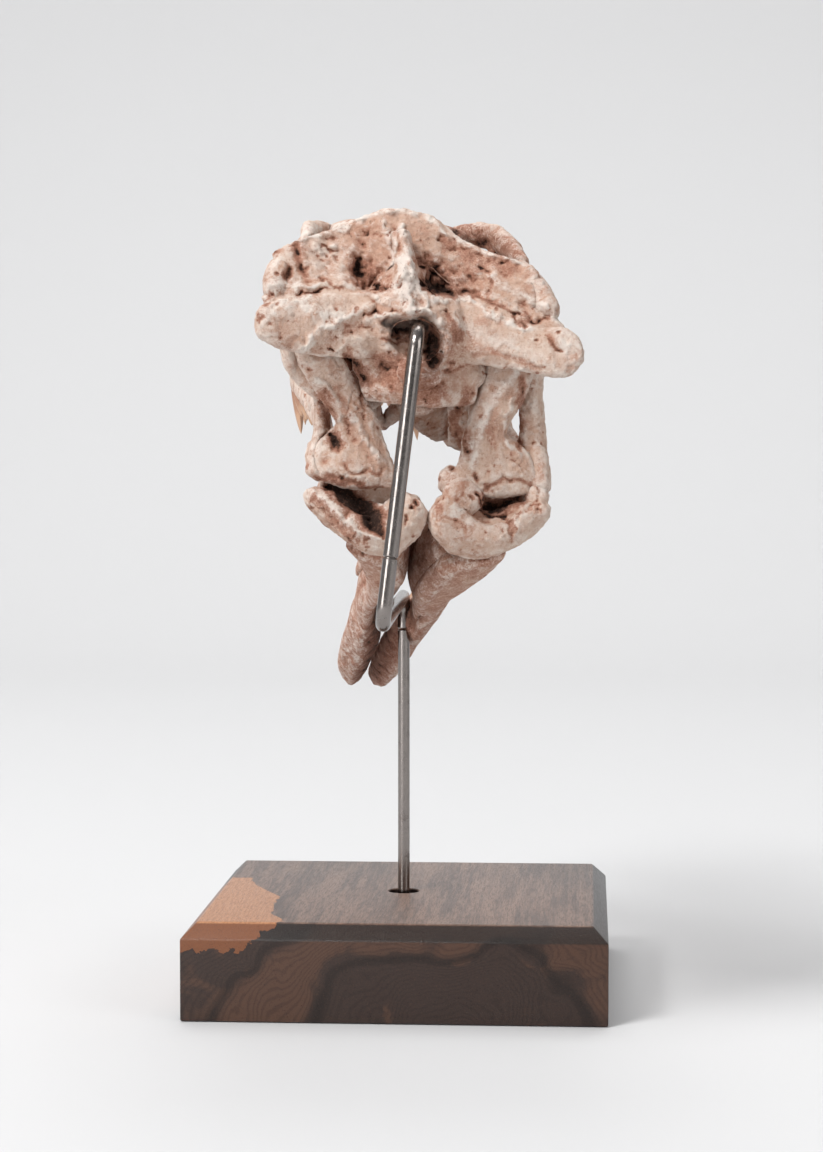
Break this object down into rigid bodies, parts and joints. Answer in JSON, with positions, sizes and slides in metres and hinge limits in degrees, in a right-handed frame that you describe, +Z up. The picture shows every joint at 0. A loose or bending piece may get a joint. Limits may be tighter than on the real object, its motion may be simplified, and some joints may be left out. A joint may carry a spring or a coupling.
{
  "type": "dinosaur skull fossil",
  "caption": "Skull of a small meat-eating dinosaur with its jaws open, held on a bent steel rod that stands in a square hardwood block.",
  "frame": {"origin": "centre of the block's flat underside, on the floor", "axes": "+Z up, +Y away from the viewer, the way the snout points within about 11 degrees, +X to the viewer's right. The block lies square to the axes."},
  "size_m": [0.109, 0.2129, 0.2024],
  "materials": {
    "skull_bone": "matt, porous, pinkish cream with red-brown stains",
    "jaw_bone": "matt, pitted, warm tan",
    "steel_rod": "bare, dull",
    "hardwood": "oiled, dark and figured, with one patch of orange sapwood"
  },
  "bodies": {
    "root": {"angular_left": "jaw_bone", "angular_right": "jaw_bone", "articular_left": "jaw_bone", "articular_right": "jaw_bone", "braincase": "skull_bone", "dentary_left": "jaw_bone", "dentary_right": "jaw_bone", "ectopterygoid_left": "skull_bone", "ectopterygoid_right": "skull_bone", "frontal_left": "skull_bone", "frontal_right": "skull_bone", "jugal_left": "skull_bone", "jugal_right": "skull_bone", "lacrimal_left": "skull_bone", "lacrimal_right": "skull_bone", "maxilla_left": "skull_bone", "maxilla_right": "skull_bone", "mount_arm": "steel_rod", "mount_block": "hardwood", "mount_post": "steel_rod", "mount_upright": "steel_rod", "nasal_left": "skull_bone", "nasal_right": "skull_bone", "palatine_left": "skull_bone", "palatine_right": "skull_bone", "parietal": "skull_bone", "postorbital_left": "skull_bone", "postorbital_right": "skull_bone", "premaxilla_left": "skull_bone", "premaxilla_right": "skull_bone", "pterygoid_left": "skull_bone", "pterygoid_right": "skull_bone", "quadrate_left": "skull_bone", "quadrate_right": "skull_bone", "quadratojugal_left": "skull_bone", "quadratojugal_right": "skull_bone", "splenial_left": "jaw_bone", "splenial_right": "jaw_bone", "squamosal_left": "skull_bone", "squamosal_right": "skull_bone", "surangular_left": "jaw_bone", "surangular_right": "jaw_bone", "vomer": "skull_bone"}
  },
  "joints": []
}
